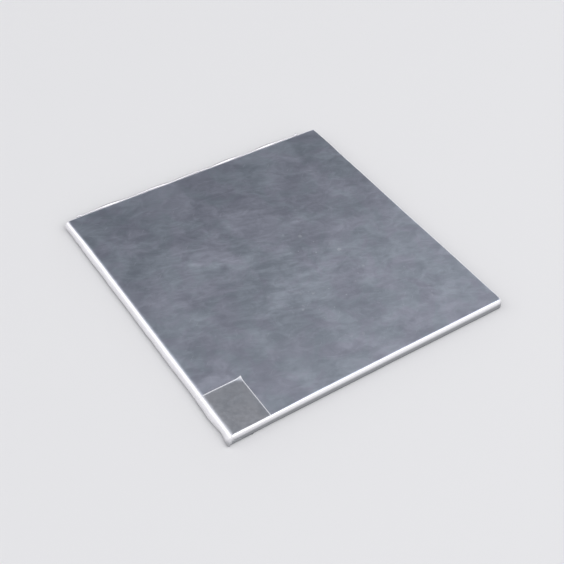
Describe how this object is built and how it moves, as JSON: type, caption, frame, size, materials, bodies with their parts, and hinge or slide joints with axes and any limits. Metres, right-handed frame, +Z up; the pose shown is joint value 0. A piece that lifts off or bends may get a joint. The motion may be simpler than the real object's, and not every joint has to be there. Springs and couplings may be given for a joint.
{
  "type": "pouch battery cell",
  "caption": "Flat, nearly square pouch battery cell in satin aluminium laminate, with folded seals, a taped corner and terminal tabs laid flat under the body.",
  "frame": {"origin": "middle of the footprint, on the surface the cell lies on", "axes": "+Z up through the thickness, +Y towards the back edge with the standing seal, +X towards the edge where the terminal tabs leave the pouch"},
  "size_m": [0.1508, 0.1563, 0.0058],
  "materials": {
    "laminate_upper": "satin aluminium laminate film, faintly smudged",
    "laminate_lower": "satin aluminium laminate film",
    "patch_tape": "smooth metallised adhesive tape",
    "rim_tape": "amber polyimide tape",
    "stack_tape": "blue polyester tape",
    "weld_tape": "green polyester tape",
    "sealant": "milky polypropylene strip",
    "tab_aluminium": "bright rolled aluminium",
    "tab_nickel": "nickel plated copper",
    "cathode": "matt dark coating on aluminium foil",
    "anode": "matt graphite coating on copper foil",
    "separator": "white porous film"
  },
  "bodies": {
    "root": {"anode_01": "anode", "anode_02": "anode", "anode_03": "anode", "anode_04": "anode", "anode_05": "anode", "anode_06": "anode", "anode_07": "anode", "anode_08": "anode", "anode_09": "anode", "anode_10": "anode", "anode_11": "anode", "anode_12": "anode", "anode_13": "anode", "cathode_01": "cathode", "cathode_02": "cathode", "cathode_03": "cathode", "cathode_04": "cathode", "cathode_05": "cathode", "cathode_06": "cathode", "cathode_07": "cathode", "cathode_08": "cathode", "cathode_09": "cathode", "cathode_10": "cathode", "cathode_11": "cathode", "cathode_12": "cathode", "corner_patch": "patch_tape", "front_rim_tape_1": "rim_tape", "front_rim_tape_2": "rim_tape", "front_rim_tape_3": "rim_tape", "left_rim_tape_1": "rim_tape", "left_rim_tape_2": "rim_tape", "negative_tab": "tab_nickel", "negative_tab_sealant_inner": "sealant", "negative_tab_sealant_outer": "sealant", "negative_weld_tape": "weld_tape", "positive_tab": "tab_aluminium", "positive_tab_sealant_inner": "sealant", "positive_tab_sealant_outer": "sealant", "positive_weld_tape": "weld_tape", "pouch_cover": "laminate_lower", "pouch_cup": "laminate_upper", "separator_strip": "separator", "stack_tape_back_left": "stack_tape", "stack_tape_back_right": "stack_tape", "stack_tape_front_left": "stack_tape", "stack_tape_front_right": "stack_tape"}
  },
  "joints": []
}
